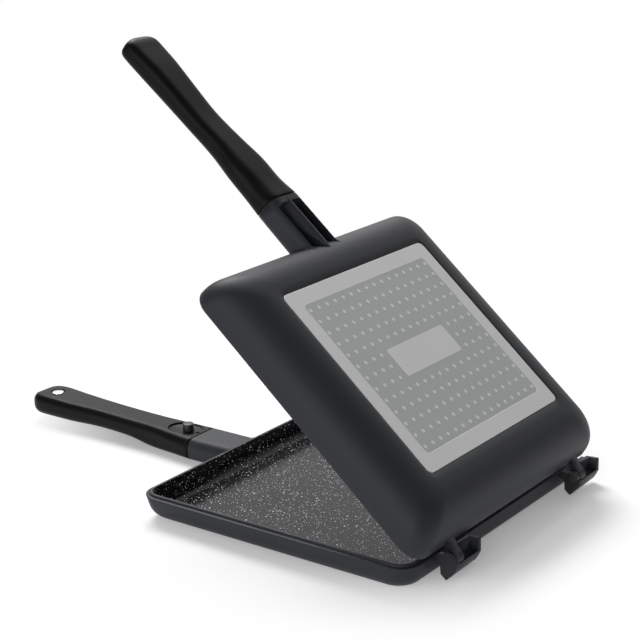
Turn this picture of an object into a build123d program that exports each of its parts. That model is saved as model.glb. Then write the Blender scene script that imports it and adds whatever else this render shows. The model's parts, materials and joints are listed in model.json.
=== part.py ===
from build123d import *
from math import cos, pi, radians, sin, sqrt, tan
import os

# Hob sandwich maker: two square pans, face to face, joined at a lift-out hinge.
# Origin at the centre of the lower pan's base. +Z up, handles towards -Y, hinge line along X at +Y.
# All sizes in millimetres. The upper half is modelled closed, then opened to its resting angle.

# Pans
pan_width = 170.0
pan_length = 165.6
lower_shoulder_z = 13.0
closed_height = 35.5
rim_gap = 0.3
rim_corner_radius = 11.0
base_corner_radius = 8.7
wall_thickness = 3.7
base_thickness = 3.4
lower_draft = 12.7
lower_edge_radius = 8.9
upper_draft = 6.5
upper_edge_radius = 21.1

# Rim lip of the lower pan, and the rebate that it enters in the upper pan
lip_inset = 2.0
lip_height = 1.2
lip_clearance = 0.35

# Induction plates, flush in a recess of each base
plate_width = 120.0
plate_length = 110.4
plate_thickness = 1.0
plate_corner_radius = 3.2
plate_gap = 0.35

# Sections of the handles: (half width, low face z, high face z, low corner radius, high corner radius)
lower_seam_y = -110.5
upper_seam_y = -108.4
lower_seam = (13.4, 0.9, 13.1, 3.8, 5.2)
upper_seam = (13.0, 17.9, 32.3, 4.2, 7.4)
lower_root = (12.9, 0.9, 13.2, 3.8, 5.2)
upper_root = (12.3, 16.8, 32.6, 4.2, 6.4)

# Handle stubs, cast with the pans and hollow at the back with one rib
lower_root_y = -74.0
upper_root_y = -70.0
pocket_half_width = 9.7
pocket_start_y = -60.0
stub_face = 2.6
stub_end_band = 3.6
rib_thickness = 1.8

# Tangs inside the grips
tang_half_width = 6.0
tang_length = 26.0
tang_clearance = 0.15
tang_corner_radius = 1.2
lower_tang_z = (3.6, 10.4)
upper_tang_z = (21.9, 28.6)

# Gaskets between stub and grip
gasket_thickness = 1.0
gasket_inset = 0.7

# Grips beyond the gasket, by y, in the closed position
lower_grip_stations = (
    (-125.0, 12.1, 0.9, 13.4, 3.9, 4.6),
    (-143.0, 10.2, 0.5, 13.9, 4.8, 4.0),
    (-160.0, 10.0, 3.1, 14.2, 4.8, 4.0),
    (-184.0, 10.1, 3.9, 14.9, 4.8, 4.0),
    (-205.0, 11.3, 3.6, 15.3, 4.8, 4.0),
    (-222.0, 12.0, 3.9, 16.1, 4.8, 4.0),
)
upper_grip_stations = (
    (-120.0, 12.4, 18.0, 31.1, 4.4, 7.4),
    (-135.0, 12.2, 18.3, 30.6, 4.4, 6.2),
    (-151.0, 10.1, 18.0, 29.5, 4.0, 4.8),
    (-171.0, 10.0, 17.4, 28.0, 4.0, 4.8),
    (-192.0, 10.6, 17.1, 28.5, 4.0, 4.8),
    (-208.0, 11.4, 17.0, 28.8, 4.0, 4.8),
    (-221.0, 12.0, 17.0, 28.2, 4.0, 4.8),
)

steps_between_stations = 3

# Grip ends: cap length, and how full the cap is in plan, at its low face and at its high face
lower_cap = (15.4, 4.0, 4.5, 4.5)
upper_cap = (9.3, 4.7, 6.0, 2.5)
cap_fractions = (0.2, 0.4, 0.55, 0.68, 0.79, 0.88, 0.94, 0.985)
cap_end_height = 0.35
cap_end_half_width = 2.2

# Post of the lower grip: when closed, its top lies just under the head of the upper grip's screw
post_y = -121.1
recess_y = -123.2
recess_length = 21.4
recess_width = 15.6
recess_floor_z = 12.6
key_hole = (1.5, -113.9, 0.5)
post_radius = 3.1
post_top_z = 16.9
post_chamfer = 0.35
thread_radius = 2.0
thread_clearance = 0.05
thread_end_gap = 0.4

# Screw of the upper grip, in a socket of the grip's low face
socket_radius = 3.9
socket_floor_z = 20.1
screw_head_radius = 3.5
screw_head_z = 17.6
cross_slot = (4.0, 0.9, 1.6)

# Magnets near the grips' ends, each in a shallow dimple
magnet_y = -223.3
magnet_radius = 3.4
magnet_height = 3.0
lower_magnet_face_z = 16.0
upper_magnet_face_z = 17.1
magnet_fit = 0.05
dimple_radii = (3.9, 5.2)
dimple_depth = 0.5
lower_end_z = 16.1
upper_end_z = 17.0

# Hinge: open-topped cradles on the lower pan, lugs on headed steel pins on the upper pan
pivot_y = 89.5
pivot_z = 11.4
resting_angle = 40.8
cradle_x = (37.5, -82.0)
cradle_width = 24.0
rear_cheek = 2.5
front_cheek = 2.5
spine_length = 10.5
lug_x = (15.5, 21.2)
pin_radius = 2.2
pin_head_radius = 3.3
pin_clearance = 0.05
pin_tail = 0.5
pin_skins = (1.0, 0.0)
seat_rise = 8.0
lug_eye_radius = 3.7
eye_clearance = 0.15
high_front_cheek = (
    (81.0, 12.7), (82.9, 12.7), (84.0, 13.9), (87.7, 15.0), (88.9, 16.2), (92.3, 13.9), (94.2, 11.4),
    (94.4, 9.4), (93.4, 7.0), (88.3, 1.3), (85.2, 3.9), (85.0, 7.6), (84.2, 9.4), (80.6, 10.2),
)
low_front_cheek = (
    (81.0, 12.7), (82.9, 12.7), (84.0, 13.4), (85.6, 12.6), (91.8, 10.9), (94.2, 9.6), (93.6, 7.4),
    (88.3, 1.3), (85.2, 3.9), (85.0, 7.6), (84.2, 9.4), (80.6, 10.2),
)
rear_cheek_outline = (
    (81.0, 12.7), (82.9, 12.7), (84.0, 13.7), (90.9, 14.2), (91.4, 13.8), (91.4, 7.2),
    (89.8, 4.2), (88.3, 1.9), (85.2, 3.9), (85.0, 7.6), (84.2, 9.4), (80.6, 10.2),
)
spine_outline = (
    (81.0, 12.7), (82.9, 12.7), (84.0, 13.7), (86.6, 14.0),
    (86.6, 7.0), (85.0, 7.0), (84.2, 9.4), (80.6, 10.2),
)
trough_rear = ((85.0, 9.0), (85.2, 3.9), (88.3, 1.9), (91.4, 7.2), (91.4, 9.0))
trough_front = ((85.0, 9.4), (85.2, 3.9), (88.3, 1.3), (93.4, 7.0), (93.6, 9.4))
lug_arm = (
    (76.0, 17.4), (81.8, 17.4), (83.2, 16.6), (86.0, 15.4), (89.5, 15.1),
    (89.5, 11.4), (86.9, 8.8), (83.8, 13.5), (76.0, 13.6),
)


def rounded_block(width, length, radius, z0, z1):
    """A block with rounded corners in plan."""
    return extrude(Pos(0, 0, z0) * RectangleRounded(width, length, radius), z1 - z0)


def dish(width, length, depth, draft, edge_radius, rim_radius, base_radius, steps):
    """A pan-shaped solid, rim at z = 0, base at z = -depth. Drafted walls turn into the base on an arc."""
    angle = radians(draft)
    arc_centre = (depth - edge_radius) * tan(angle) + edge_radius / cos(angle)
    profile = [(0.0, 0.0)]
    for step in range(steps + 1):
        turn = angle + (pi / 2 - angle) * step / steps
        inset = arc_centre - edge_radius * cos(turn)
        drop = depth - edge_radius + edge_radius * sin(turn)
        if drop > 0.5:
            profile.append((inset, drop))
    last_inset = profile[-1][0]
    sections = []
    for inset, drop in profile:
        radius = rim_radius + (base_radius - rim_radius) * inset / last_inset
        sections.append(Pos(0, 0, -drop) * RectangleRounded(width - 2 * inset, length - 2 * inset, radius))
    return loft(sections)


def section(y, half_width, low, high, low_radius, high_radius):
    """A handle's cross-section at one y: a rectangle with rounded corners, low and high ones apart."""
    centre_z = (low + high) / 2
    shape = Rectangle(2 * half_width, high - low)
    corners = shape.vertices().sort_by(Axis.Y)
    shape = fillet(corners[:2], low_radius)
    corners = shape.vertices().sort_by(Axis.Y)
    shape = fillet(corners[-2:], high_radius)
    plane = Plane(origin=(0, y, centre_z), x_dir=(1, 0, 0), z_dir=(0, -1, 0))
    return plane * shape


def outline_face(points, x):
    """A flat face standing across the X axis, from an outline in y and z."""
    plane = Plane(origin=(x, 0, 0), x_dir=(0, 1, 0), z_dir=(1, 0, 0))
    return plane * make_face(Polyline(*points, close=True))


def profile_block(points, x0, x1):
    """A plate standing along X, from an outline in y and z."""
    return extrude(outline_face(points, x0), x1 - x0)


def round_bar(radius, start, end):
    """A round bar along Z or X between two points."""
    path = Vector(*end) - Vector(*start)
    return extrude(Plane(origin=start, z_dir=path) * Circle(radius), path.length)


def lower_pan_shell():
    """The lower pan's walls and base, without stub and cradles."""
    body = Pos(0, 0, lower_shoulder_z) * dish(
        pan_width, pan_length, lower_shoulder_z, lower_draft, lower_edge_radius,
        rim_corner_radius, base_corner_radius, 5)
    lip = rounded_block(
        pan_width - 2 * lip_inset, pan_length - 2 * lip_inset, rim_corner_radius - lip_inset,
        lower_shoulder_z - 1.0, lower_shoulder_z + lip_height)
    return body + lip


def lower_cavity():
    """The space inside the lower pan, up to the lip's top."""
    top = lower_shoulder_z + lip_height
    return Pos(0, 0, top) * dish(
        pan_width - 2 * wall_thickness, pan_length - 2 * wall_thickness, top - base_thickness,
        lower_draft, lower_edge_radius - base_thickness,
        rim_corner_radius - wall_thickness, base_corner_radius - 3.0, 5)


def upper_pan_shell():
    """The upper pan's outer block, closed."""
    rim = lower_shoulder_z + rim_gap
    block = dish(
        pan_width, pan_length, closed_height - rim, upper_draft, upper_edge_radius,
        rim_corner_radius, base_corner_radius, 8)
    return Pos(0, 0, rim) * mirror(block, Plane.XY)


def upper_cavity():
    """The space inside the upper pan, with the rebate for the lower pan's lip."""
    rim = lower_shoulder_z + rim_gap
    rebate_top = lower_shoulder_z + lip_height + lip_clearance
    inside = dish(
        pan_width - 2 * wall_thickness, pan_length - 2 * wall_thickness,
        closed_height - base_thickness - rebate_top,
        upper_draft, upper_edge_radius - wall_thickness - 0.6,
        rim_corner_radius - wall_thickness, base_corner_radius - 3.0, 8)
    rebate = rounded_block(
        pan_width - 2 * lip_inset + 2 * lip_clearance, pan_length - 2 * lip_inset + 2 * lip_clearance,
        rim_corner_radius - lip_inset + lip_clearance, rim - 1.0, rebate_top)
    return Pos(0, 0, rebate_top) * mirror(inside, Plane.XY) + rebate


def stub(root_y, root, seam_y, seam, pocket_z0, pocket_z1):
    """A cast handle stub, hollow at its back, with a central rib and a solid band at the seam."""
    solid = loft([section(root_y, *root), section(seam_y, *seam)])
    pocket_width = pocket_half_width - rib_thickness / 2
    pocket_length = pocket_start_y - seam_y - stub_end_band
    for side in (1, -1):
        x = side * (rib_thickness / 2 + pocket_width / 2)
        pocket = Box(pocket_width, pocket_length, pocket_z1 - pocket_z0)
        solid -= Pos(x, pocket_start_y - pocket_length / 2, (pocket_z0 + pocket_z1) / 2) * pocket
    return solid


def tang(seam_y, z_range, clearance):
    """The tongue that runs into the grip, or with a clearance the socket that it fills."""
    z0, z1 = z_range
    length = tang_length + clearance
    bar = Pos(0, seam_y - length / 2, (z0 + z1) / 2) * Box(
        2 * (tang_half_width + clearance), length, z1 - z0 + 2 * clearance)
    return fillet(bar.edges().filter_by(Axis.Y), tang_corner_radius)


def station_rates(stations):
    """How fast each value of the stations changes with y, at every station."""
    last = len(stations) - 1
    rates = []
    for index in range(last + 1):
        before, after = stations[max(index - 1, 0)], stations[min(index + 1, last)]
        run = after[0] - before[0]
        rates.append([(end - start) / run for start, end in zip(before, after)])
    return rates


def refined(stations):
    """More stations, on smooth curves through the given ones."""
    rates = station_rates(stations)
    fine = []
    for index in range(len(stations) - 1):
        first, second = stations[index], stations[index + 1]
        run = second[0] - first[0]
        for step in range(steps_between_stations):
            t = step / steps_between_stations
            values = []
            for start, end, start_rate, end_rate in zip(first, second, rates[index], rates[index + 1]):
                values.append(
                    (1 + 2 * t) * (1 - t) ** 2 * start + t * (1 - t) ** 2 * run * start_rate
                    + t * t * (3 - 2 * t) * end + t * t * (t - 1) * run * end_rate)
            fine.append(values)
    fine.append(stations[-1])
    return fine


def grip(seam_y, seam, stations, cap):
    """A moulded grip: lofted along its length from the gasket, with a rounded end."""
    start = (seam_y - gasket_thickness, *seam)
    sections = [section(*station) for station in refined((start, *stations))]
    end_y, half_width, low, high, low_radius, high_radius = stations[-1]
    cap_length, plan_power, low_power, high_power = cap
    middle, half_height = (low + high) / 2, (high - low) / 2
    for fraction in cap_fractions:
        low_half = half_height * (cap_end_height + (1 - cap_end_height) * sqrt(1 - fraction ** low_power))
        high_half = half_height * (cap_end_height + (1 - cap_end_height) * sqrt(1 - fraction ** high_power))
        end_width = max(half_width * sqrt(1 - fraction ** plan_power), cap_end_half_width)
        radius_limit = 0.96 * min(end_width, low_half, high_half)
        sections.append(section(
            end_y - cap_length * fraction, end_width, middle - low_half, middle + high_half,
            min(low_radius, radius_limit), min(high_radius, radius_limit)))
    return loft(sections, ruled=True)


def gasket(seam_y, seam, tang_z):
    """A flat ring between the stub's end and the grip, round the tang."""
    half_width, low, high, low_radius, high_radius = seam
    outline = (
        half_width - gasket_inset, low + gasket_inset, high - gasket_inset,
        low_radius - gasket_inset, high_radius - gasket_inset)
    ring = loft([section(seam_y, *outline), section(seam_y - gasket_thickness, *outline)])
    return ring - tang(seam_y, tang_z, tang_clearance)


def cradles():
    """The two hinge cradles of the lower pan: the near one has a high front cheek, the far a low one."""
    parts = []
    for x0, front in zip(cradle_x, (high_front_cheek, low_front_cheek)):
        x1 = x0 + cradle_width
        inner = x1 - front_cheek
        trough = loft([outline_face(trough_rear, x0), outline_face(trough_front, inner)], ruled=True)
        eye_room = round_bar(
            lug_eye_radius + eye_clearance, (x0, pivot_y, pivot_z), (inner, pivot_y, pivot_z))
        parts.append(trough - eye_room)
        parts.append(profile_block(rear_cheek_outline, x0 - rear_cheek, x0))
        parts.append(profile_block(front, inner, x1))
        parts.append(profile_block(spine_outline, x0, x0 + spine_length))
    return parts


def pin_shape(x0, skin, clearance):
    """A headed hinge pin, or with a clearance its seat."""
    head_start = x0 + cradle_width - front_cheek
    head_end = x0 + cradle_width - skin
    tail = x0 + lug_x[0] - pin_tail
    shank = round_bar(pin_radius + clearance, (tail, pivot_y, pivot_z), (head_start, pivot_y, pivot_z))
    head = round_bar(
        pin_head_radius + clearance,
        (head_start - clearance, pivot_y, pivot_z), (head_end + clearance, pivot_y, pivot_z))
    return shank + head


def cradle_seats():
    """The seats of the pins' heads in the front cheeks: round at the bottom and open at the top."""
    parts = []
    radius = pin_head_radius + pin_clearance
    for x0, skin in zip(cradle_x, pin_skins):
        start = x0 + cradle_width - front_cheek - pin_clearance
        end = x0 + cradle_width - skin + pin_clearance
        parts.append(round_bar(radius, (start, pivot_y, pivot_z), (end, pivot_y, pivot_z)))
        slot = Box(end - start, 2 * radius, seat_rise)
        parts.append(Pos((start + end) / 2, pivot_y, pivot_z + seat_rise / 2) * slot)
    return parts


def lugs():
    """The upper pan's two lugs, each with an eye for its pin."""
    parts = []
    for x0 in cradle_x:
        start, end = x0 + lug_x[0], x0 + lug_x[1]
        arm = profile_block(lug_arm, start, end)
        eye = round_bar(lug_eye_radius, (start, pivot_y, pivot_z), (end, pivot_y, pivot_z))
        parts.append(arm + eye)
    return parts


def lug_bores():
    """The holes for the hinge pins."""
    bores = []
    for x0 in cradle_x:
        start, end = x0 + lug_x[0] - 1.0, x0 + lug_x[1] + 1.0
        bores.append(round_bar(
            pin_radius + pin_clearance, (start, pivot_y, pivot_z), (end, pivot_y, pivot_z)))
    return bores


def base_plate(z0, z1, clearance=0.0):
    """An induction plate, or with a clearance the recess that it lies in."""
    return rounded_block(
        plate_width + 2 * clearance, plate_length + 2 * clearance, plate_corner_radius + clearance, z0, z1)


def bar_z(radius, y, z0, z1):
    """A round bar standing on the handle's centre line."""
    return round_bar(radius, (0, y, z0), (0, y, z1))


def opened(shape):
    """The upper half's parts, turned from closed to the resting angle."""
    return shape.rotate(Axis((0, pivot_y, pivot_z), (1, 0, 0)), -resting_angle)


# Lower half
thread_hole_radius = thread_radius + thread_clearance
lower_pan = lower_pan_shell()
lower_pan += stub(lower_root_y, lower_root, lower_seam_y, lower_seam, -1.0, lower_seam[2] - stub_face)
lower_pan += cradles()
lower_pan += tang(lower_seam_y, lower_tang_z, 0.0)
lower_pan -= lower_cavity()
lower_pan -= cradle_seats()
lower_pan -= base_plate(-1.0, plate_thickness, plate_gap)
lower_pan -= bar_z(thread_hole_radius, post_y, lower_tang_z[0] - 1.0, lower_tang_z[1] + 1.0)
lower_base_plate = base_plate(0.0, plate_thickness)
lower_gasket = gasket(lower_seam_y, lower_seam, lower_tang_z)

lower_grip = grip(lower_seam_y, lower_seam, lower_grip_stations, lower_cap)
lower_grip -= tang(lower_seam_y, lower_tang_z, tang_clearance)
lower_grip -= Pos(0, recess_y, recess_floor_z) * extrude(
    Rot(0, 0, 90) * SlotOverall(recess_length, recess_width), 3.0)
key_radius, key_y, key_depth = key_hole
lower_grip -= bar_z(key_radius, key_y, recess_floor_z - key_depth, recess_floor_z + 1.0)
lower_grip -= bar_z(thread_hole_radius, post_y, lower_tang_z[1], recess_floor_z + 1.0)
lower_grip -= bar_z(
    magnet_radius + magnet_fit, magnet_y, lower_magnet_face_z - magnet_height, lower_end_z + 2.0)
lower_grip -= Pos(0, magnet_y, lower_end_z) * Cone(*dimple_radii, 2 * dimple_depth)
lower_magnet = bar_z(magnet_radius, magnet_y, lower_magnet_face_z - magnet_height, lower_magnet_face_z)

locating_post = bar_z(thread_radius, post_y, lower_tang_z[0] + thread_end_gap, recess_floor_z + 1.0)
locating_post += bar_z(post_radius, post_y, recess_floor_z, post_top_z)
locating_post = chamfer(locating_post.edges().sort_by(Axis.Z)[-1], post_chamfer)

# Upper half, closed
upper_pan = upper_pan_shell()
upper_pan += stub(
    upper_root_y, upper_root, upper_seam_y, upper_seam, upper_seam[1] + stub_face, closed_height)
upper_pan += lugs()
upper_pan += tang(upper_seam_y, upper_tang_z, 0.0)
upper_pan -= upper_cavity()
upper_pan -= lug_bores()
upper_pan -= base_plate(closed_height - plate_thickness, closed_height + 1.0, plate_gap)
upper_pan -= bar_z(thread_hole_radius, post_y, upper_tang_z[0] - 1.0, upper_tang_z[1] + 1.0)
upper_base_plate = base_plate(closed_height - plate_thickness, closed_height)
upper_gasket = gasket(upper_seam_y, upper_seam, upper_tang_z)

upper_grip = grip(upper_seam_y, upper_seam, upper_grip_stations, upper_cap)
upper_grip -= tang(upper_seam_y, upper_tang_z, tang_clearance)
upper_grip -= bar_z(socket_radius, post_y, upper_end_z - 2.0, socket_floor_z)
upper_grip -= bar_z(thread_hole_radius, post_y, socket_floor_z - 1.0, upper_tang_z[0])
upper_grip -= bar_z(
    magnet_radius + magnet_fit, magnet_y, upper_end_z - 2.0, upper_magnet_face_z + magnet_height)
upper_grip -= Pos(0, magnet_y, upper_end_z) * Cone(dimple_radii[1], dimple_radii[0], 2 * dimple_depth)
upper_magnet = bar_z(magnet_radius, magnet_y, upper_magnet_face_z, upper_magnet_face_z + magnet_height)

grip_screw = bar_z(thread_radius, post_y, socket_floor_z - 1.0, upper_tang_z[1] - thread_end_gap)
grip_screw += bar_z(screw_head_radius, post_y, screw_head_z, socket_floor_z)
slot_length, slot_width, slot_height = cross_slot
for size in ((slot_length, slot_width), (slot_width, slot_length)):
    grip_screw -= Pos(0, post_y, screw_head_z) * Box(*size, slot_height)

parts = {
    "lower_pan": lower_pan,
    "lower_base_plate": lower_base_plate,
    "lower_gasket": lower_gasket,
    "lower_grip": lower_grip,
    "lower_magnet": lower_magnet,
    "locating_post": locating_post,
    "near_hinge_pin": pin_shape(cradle_x[0], pin_skins[0], 0.0),
    "far_hinge_pin": pin_shape(cradle_x[1], pin_skins[1], 0.0),
    "upper_pan": opened(upper_pan),
    "upper_base_plate": opened(upper_base_plate),
    "upper_gasket": opened(upper_gasket),
    "upper_grip": opened(upper_grip),
    "upper_magnet": opened(upper_magnet),
    "grip_screw": opened(grip_screw),
}

os.makedirs("parts", exist_ok=True)
for name, shape in parts.items():
    export_step(shape, "parts/" + name + ".step")
    print(name, "volume", round(shape.volume), "solids", len(shape.solids()), "valid", shape.is_valid)
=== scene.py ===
import bmesh
import bpy
import json
from math import cos, pi, radians, sin, sqrt, tan
from mathutils import Matrix, Vector


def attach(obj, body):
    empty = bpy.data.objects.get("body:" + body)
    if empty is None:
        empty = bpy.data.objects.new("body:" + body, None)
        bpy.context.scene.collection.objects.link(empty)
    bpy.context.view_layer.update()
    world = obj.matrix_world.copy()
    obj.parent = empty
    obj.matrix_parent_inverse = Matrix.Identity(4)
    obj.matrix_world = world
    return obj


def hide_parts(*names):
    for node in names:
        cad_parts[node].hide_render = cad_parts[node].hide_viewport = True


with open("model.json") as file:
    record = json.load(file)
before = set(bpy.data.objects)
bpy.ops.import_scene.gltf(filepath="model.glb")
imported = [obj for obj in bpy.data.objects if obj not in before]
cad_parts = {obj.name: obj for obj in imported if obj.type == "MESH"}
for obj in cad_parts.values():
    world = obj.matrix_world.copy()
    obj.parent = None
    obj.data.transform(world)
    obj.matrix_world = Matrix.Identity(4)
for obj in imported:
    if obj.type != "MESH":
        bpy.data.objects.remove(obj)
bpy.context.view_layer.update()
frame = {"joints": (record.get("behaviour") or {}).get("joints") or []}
mm = 0.001
mergeDistance = 1e-6        # in metres
easing = 0.3        # an eased edge has a point at this share of its width
bumpDistance = 0.0001        # in metres

hinge = next(joint for joint in frame["joints"] if joint["name"] == "lid_hinge")
hingePoint = Vector(hinge["pos_m"])
openAngle = -radians(hinge["range_deg"][0])        # the joint's lower limit is the closed position
openTurn = (Matrix.Translation(hingePoint) @ Matrix.Rotation(-openAngle, 4, "X")
            @ Matrix.Translation(-hingePoint))
print("frame loaded, lid open by", round(openAngle * 180 / pi, 1), "degrees")


# Shader maths as plain expressions
class Socket:
    def __init__(self, tree, link):
        self.tree = tree
        self.link = link

    def maths(self, operation, other, swapped=False):
        values = [self.link, unwrap(other)]
        if swapped:
            values.reverse()
        return self.tree.node("ShaderNodeMath", {"operation": operation}, dict(enumerate(values)))

    def __add__(self, other):
        return self.maths("ADD", other)

    def __radd__(self, other):
        return self.maths("ADD", other)

    def __sub__(self, other):
        return self.maths("SUBTRACT", other)

    def __rsub__(self, other):
        return self.maths("SUBTRACT", other, True)

    def __mul__(self, other):
        return self.maths("MULTIPLY", other)

    def __rmul__(self, other):
        return self.maths("MULTIPLY", other)


def unwrap(value):
    return value.link if isinstance(value, Socket) else value


class Shader:
    def __init__(self, owner):
        self.owner = owner
        owner.use_nodes = True
        self.nodes = owner.node_tree.nodes
        self.links = owner.node_tree.links
        self.nodes.clear()

    def node(self, kind, settings=None, inputs=None, output=0):
        made = self.nodes.new(kind)
        for key, value in (settings or {}).items():
            setattr(made, key, value)
        for key, value in (inputs or {}).items():
            value = unwrap(value)
            if isinstance(value, bpy.types.NodeSocket):
                self.links.new(value, made.inputs[key])
            else:
                made.inputs[key].default_value = value
        return Socket(self, made.outputs[output]) if made.outputs else None

    def place(self):
        return self.node("ShaderNodeTexCoord", output="Object")

    def mix(self, factor, first, second):
        return self.node("ShaderNodeMix", {"data_type": "RGBA"}, {0: factor, 6: first, 7: second}, 2)

    def noise(self, place, scale, detail, roughness):
        inputs = {"Vector": place, "Scale": scale, "Detail": detail, "Roughness": roughness}
        return self.node("ShaderNodeTexNoise", {}, inputs, "Fac")

    def bump(self, height, strength):
        inputs = {"Height": height, "Strength": strength, "Distance": bumpDistance}
        return self.node("ShaderNodeBump", {}, inputs)

    def step(self, value, low, high):
        inputs = {0: value, 1: low, 2: high, 3: 0.0, 4: 1.0}
        return self.node("ShaderNodeMapRange", {"interpolation_type": "SMOOTHSTEP"}, inputs)

    def finish(self, inputs):
        surface = self.node("ShaderNodeBsdfPrincipled", {}, inputs)
        self.node("ShaderNodeOutputMaterial", {}, {"Surface": surface})
        return self.owner


def materialShader(name):
    return Shader(bpy.data.materials.new(name))


# Mesh helpers, in millimetres, with the lid closed
def newPiece(name, vertices, faces):
    mesh = bpy.data.meshes.new(name)
    mesh.from_pydata([Vector(vertex) * mm for vertex in vertices], [], faces)
    shape = bmesh.new()
    shape.from_mesh(mesh)
    bmesh.ops.remove_doubles(shape, verts=shape.verts, dist=mergeDistance)
    bmesh.ops.recalc_face_normals(shape, faces=shape.faces)
    shape.to_mesh(mesh)
    shape.free()
    piece = bpy.data.objects.new(name, mesh)
    bpy.context.scene.collection.objects.link(piece)
    return piece


def roundedRing(x0, x1, y0, y1, lowRadius, highRadius, cornerSteps=8, sideSteps=6):
    corners = ((x1 - highRadius, y1 - highRadius, highRadius), (x0 + highRadius, y1 - highRadius, highRadius),
               (x0 + lowRadius, y0 + lowRadius, lowRadius), (x1 - lowRadius, y0 + lowRadius, lowRadius))
    arcs = []
    for quarter, (cx, cy, radius) in enumerate(corners):
        turns = [(quarter + step / cornerSteps) * pi / 2 for step in range(cornerSteps + 1)]
        arcs.append([(cx + radius * cos(turn), cy + radius * sin(turn)) for turn in turns])
    ring = []
    for quarter, arc in enumerate(arcs):
        ring += arc
        ax, ay = arc[-1]
        bx, by = arcs[(quarter + 1) % 4][0]
        for step in range(1, sideSteps):
            part = step / sideSteps
            ring.append((ax + (bx - ax) * part, ay + (by - ay) * part))
    return ring


def loftPiece(name, rings):
    count = len(rings[0])
    vertices = [point for ring in rings for point in ring]
    faces = []
    for row in range(len(rings) - 1):
        for column in range(count):
            beside = (column + 1) % count
            low, high = row * count, (row + 1) * count
            faces.append((low + column, low + beside, high + beside, high + column))
    faces.append(tuple(range(count)))
    faces.append(tuple(range(len(vertices) - count, len(vertices))))
    return newPiece(name, vertices, faces)


def bake(piece):
    evaluated = piece.evaluated_get(bpy.context.evaluated_depsgraph_get())
    mesh = bpy.data.meshes.new_from_object(evaluated)
    piece.modifiers.clear()
    old = piece.data
    piece.data = mesh
    bpy.data.meshes.remove(old)
    return piece


def combine(piece, other, operation):
    modifier = piece.modifiers.new(operation, "BOOLEAN")
    modifier.operation = operation
    modifier.solver = "MANIFOLD"
    modifier.object = other
    bake(piece)
    bpy.data.objects.remove(other)
    return piece


def softenEdges(piece, width, angle=20, segments=2):
    bevel = piece.modifiers.new("edges", "BEVEL")
    bevel.width = width * mm
    bevel.segments = segments
    bevel.limit_method = "ANGLE"
    bevel.angle_limit = radians(angle)
    bevel.harden_normals = True
    return bake(piece)


def shadeSmooth(piece, angle=35):
    piece.data.polygons.foreach_set("use_smooth", [True] * len(piece.data.polygons))
    piece.data.set_sharp_from_angle(angle=radians(angle))


def lathe(name, axis, centre, profile, steps=48):
    rings = []
    for radius, along in profile:        # axis x: centre is (y, z); axis z: centre is (x, y)
        ring = []
        for step in range(steps):
            turn = 2 * pi * step / steps
            a, b = centre[0] + radius * cos(turn), centre[1] + radius * sin(turn)
            ring.append((along, a, b) if axis == "x" else (a, b, along))
        rings.append(ring)
    return loftPiece(name, rings)


def bar(name, axis, centre, radius, start, end):
    return lathe(name, axis, centre, [(radius, start), (radius, end)])


def plateFrom(name, outline, x0, x1, softness):
    piece = loftPiece(name, [[(x, y, z) for y, z in outline] for x in (x0, x1)])
    return softenEdges(piece, softness)


def coverWith(piece, material):
    piece.data.materials.clear()
    piece.data.materials.append(material)


def paintWhere(piece, material, test):
    piece.data.materials.append(material)
    slot = len(piece.data.materials) - 1
    for face in piece.data.polygons:
        if test(face):
            face.material_index = slot


def boxFrom(name, x0, x1, y0, y1, z0, z1, radius):
    ring = roundedRing(x0, x1, y0, y1, radius, radius, cornerSteps=4, sideSteps=1)
    return loftPiece(name, [[(x, y, z) for x, y in ring] for z in (z0, z1)])


def fitPiece(piece, node, body):
    if body == "upper_half":        # made with the lid closed, so it's turned to the rest position
        piece.data.transform(openTurn)
    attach(piece, body)
    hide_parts(node)


# Pans: a shell of rounded rings, from the plate's recess along the outside, over the rim and into the cavity
pan = {
    "halfX": 85.0, "halfY": 82.8, "rimCorner": 11.0, "baseCorner": 8.7, "ringSteps": 14, "sideSteps": 10,
    "lipInset": 2.0, "lipHeight": 1.2, "lipClearance": 0.35, "wall": 3.7, "floor": 3.4,
    "plateX": 60.0, "plateY": 55.2, "plateCorner": 3.2, "plateThickness": 1.0, "plateGap": 0.35, "edge": 0.45,
    "recessEdge": 0.15, "flatRun": 1.2, "flatCorner": 0.8, "floorCorner": 3.0, "foot": 0.2, "footRise": 0.1,
    "lipEdge": 0.4, "lipEase": 0.12, "mouthEdge": 0.3, "mouthEase": 0.08,
}
lowerDish = {
    "rim": 13.0, "base": 0.0, "draft": 12.7, "outerRadius": 8.9, "innerRadius": 5.5, "arcSteps": 12,
}
upperDish = {
    "rim": 13.3, "base": 35.5, "draft": 6.5, "outerRadius": 21.1, "innerRadius": 16.9, "arcSteps": 26,
}


def wallInset(drop, depth, draft, radius):
    angle = radians(draft)
    arcCentre = (depth - radius) * tan(angle) + radius / cos(angle)
    arcStart = depth - radius + radius * sin(angle)
    if drop <= arcStart:
        return drop * tan(angle)
    climb = min(1.0, (drop - depth + radius) / radius)
    return arcCentre - radius * sqrt(max(0.0, 1 - climb * climb))


def dishProfile(depth, draft, radius, steps):
    angle = radians(draft)
    arcCentre = (depth - radius) * tan(angle) + radius / cos(angle)
    profile = []
    for step in range(steps + 1):
        turn = angle + (pi / 2 - angle) * step / steps
        profile.append((arcCentre - radius * cos(turn), depth - radius + radius * sin(turn)))
    return profile


def panRing(inset, z, corner):
    x, y = pan["halfX"] - inset, pan["halfY"] - inset
    ring = roundedRing(-x, x, -y, y, corner, corner, pan["ringSteps"], pan["sideSteps"])
    return [(px, py, z) for px, py in ring]


def plateRing(halfX, halfY, corner, z):
    ring = roundedRing(-halfX, halfX, -halfY, halfY, corner, corner, pan["ringSteps"], pan["sideSteps"])
    return [(px, py, z) for px, py in ring]


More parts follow.
